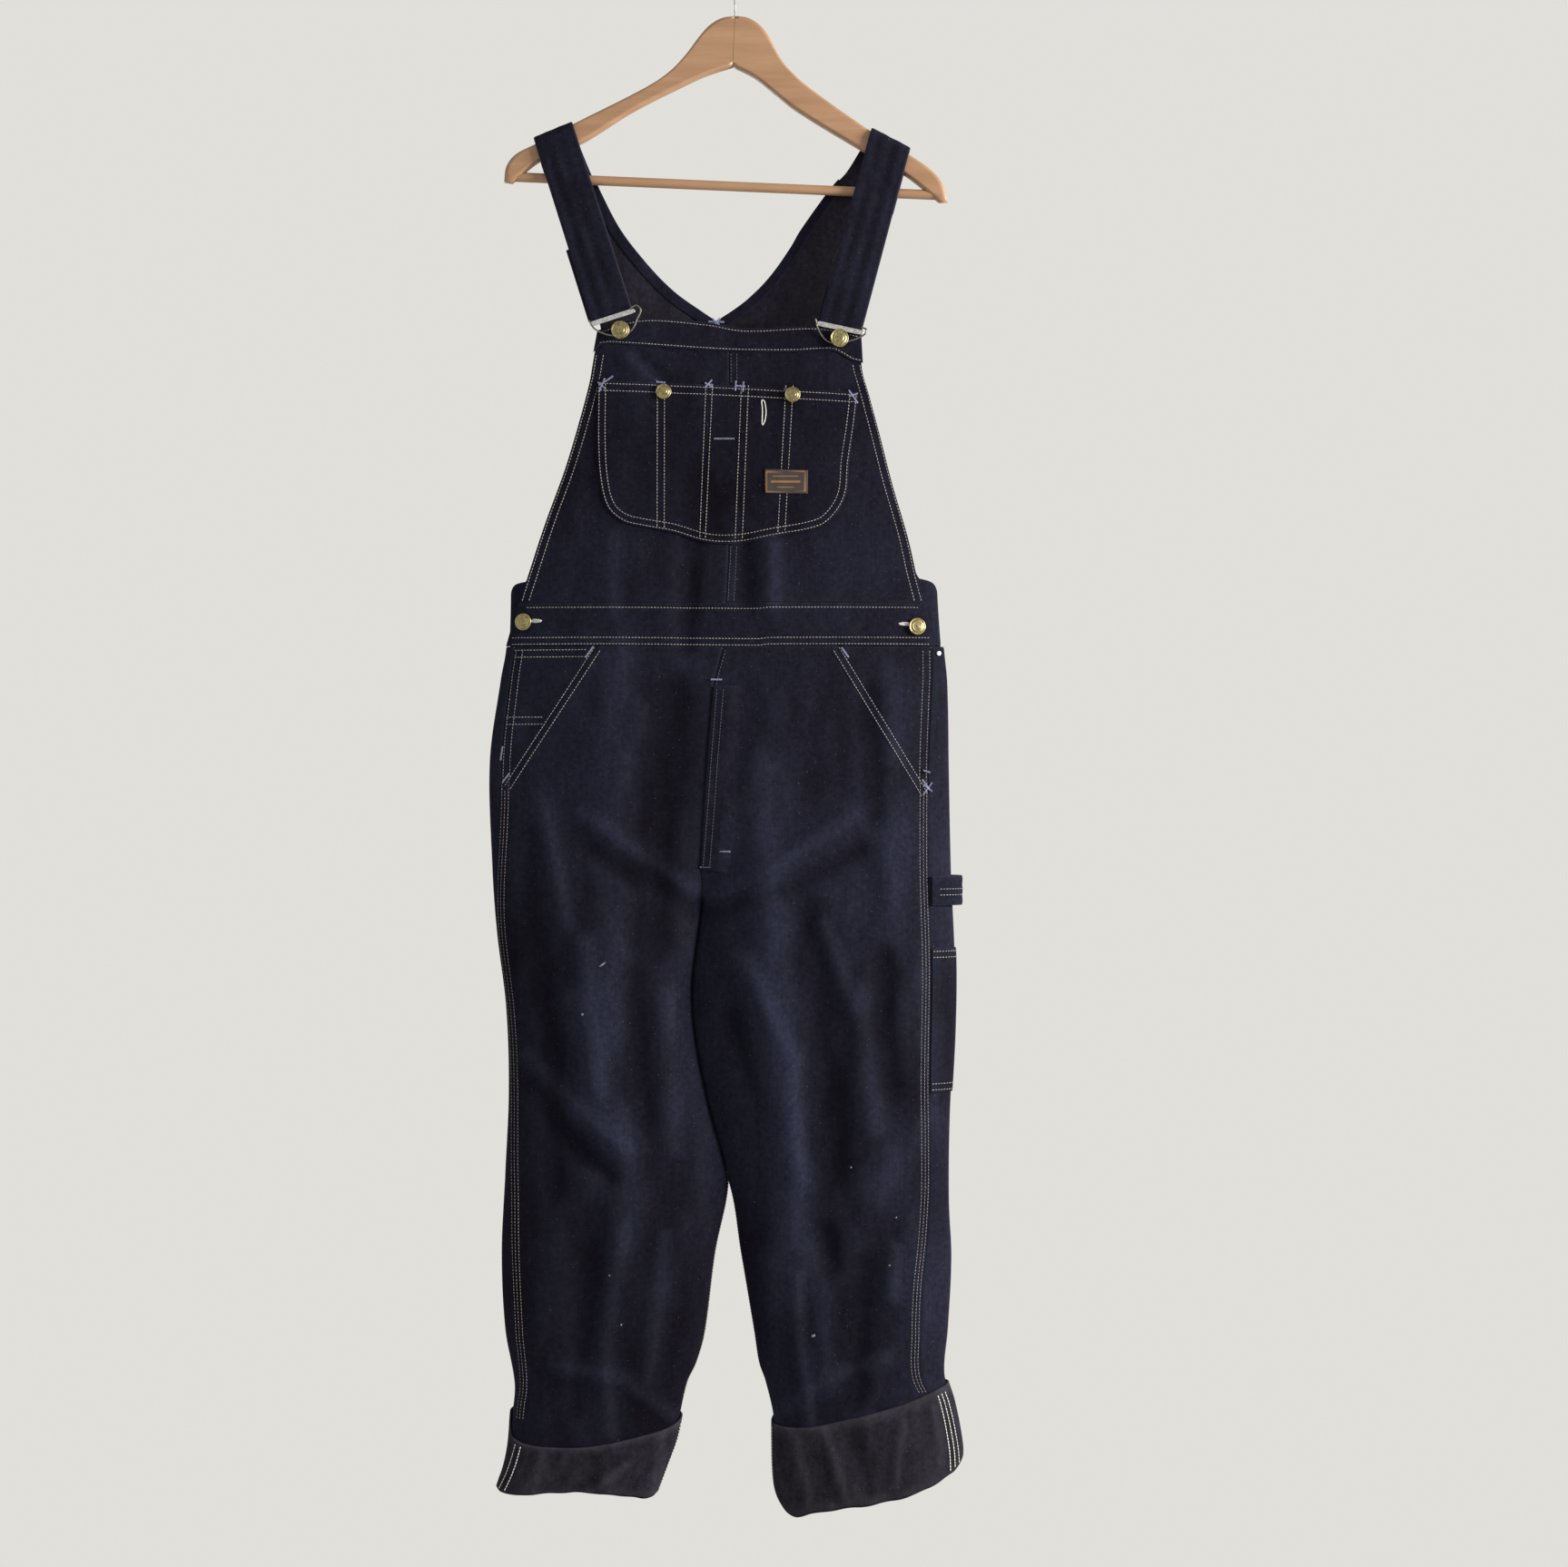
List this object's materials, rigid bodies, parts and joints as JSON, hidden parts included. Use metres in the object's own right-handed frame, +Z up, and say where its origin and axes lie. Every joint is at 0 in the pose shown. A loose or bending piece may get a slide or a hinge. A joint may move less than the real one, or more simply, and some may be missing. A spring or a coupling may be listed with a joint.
{
  "type": "denim bib overalls on a wooden hanger",
  "caption": "Dark indigo denim bib overalls with turned-up cuffs, bib pocket, hammer loop and brass buttons, hanging flat from a wooden bar hanger",
  "frame": {"origin": "inner top of the hanger's hook, the point that rests on a rail or peg", "axes": "+Z up along the hanging garment, +X to the viewer's right, front faces -Y, so Y is its thickness"},
  "size_m": [0.4752, 0.0714, 1.581],
  "materials": {
    "denim": "dark indigo twill, right side, dry and slightly creased",
    "denim_inside": "wrong side of the same denim, grey weft showing",
    "thread": "off-white and lavender sewing thread",
    "label_cloth": "blank woven label, dark brown with an orange border",
    "brass": "pressed dome buttons, dulled",
    "steel": "bright slides, wires and hanger hook",
    "beech": "clear-varnished beech"
  },
  "bodies": {
    "root": {"bib_left": "denim", "bib_right": "denim", "bib_hem": "denim", "bib_pocket": "denim", "waistband_front": "denim", "placket_left": "denim", "placket_right": "denim", "front_leg_left": "denim", "front_leg_right": "denim", "back_leg_left": "denim", "back_leg_right": "denim", "pocket_facing_left": "denim", "pocket_facing_right": "denim", "fly": "denim", "back_pocket_left": "denim", "back_pocket_right": "denim", "tool_pocket": "denim", "hammer_loop": "denim", "strap_left": "denim", "strap_right": "denim", "strap_end_left": "denim", "strap_end_right": "denim", "back_left": "denim", "back_right": "denim", "cuff_left": "denim_inside", "cuff_right": "denim_inside", "bib_label": "label_cloth", "button_bib_left": "brass", "button_bib_right": "brass", "button_pocket_left": "brass", "button_pocket_right": "brass", "button_side_left": "brass", "button_side_right": "brass", "slide_left": "steel", "slide_right": "steel", "wire_left": "steel", "wire_right": "steel", "rivet_side": "steel", "hanger_hook": "steel", "hanger_arm_left": "beech", "hanger_arm_right": "beech", "hanger_bar": "beech"}
  },
  "joints": []
}
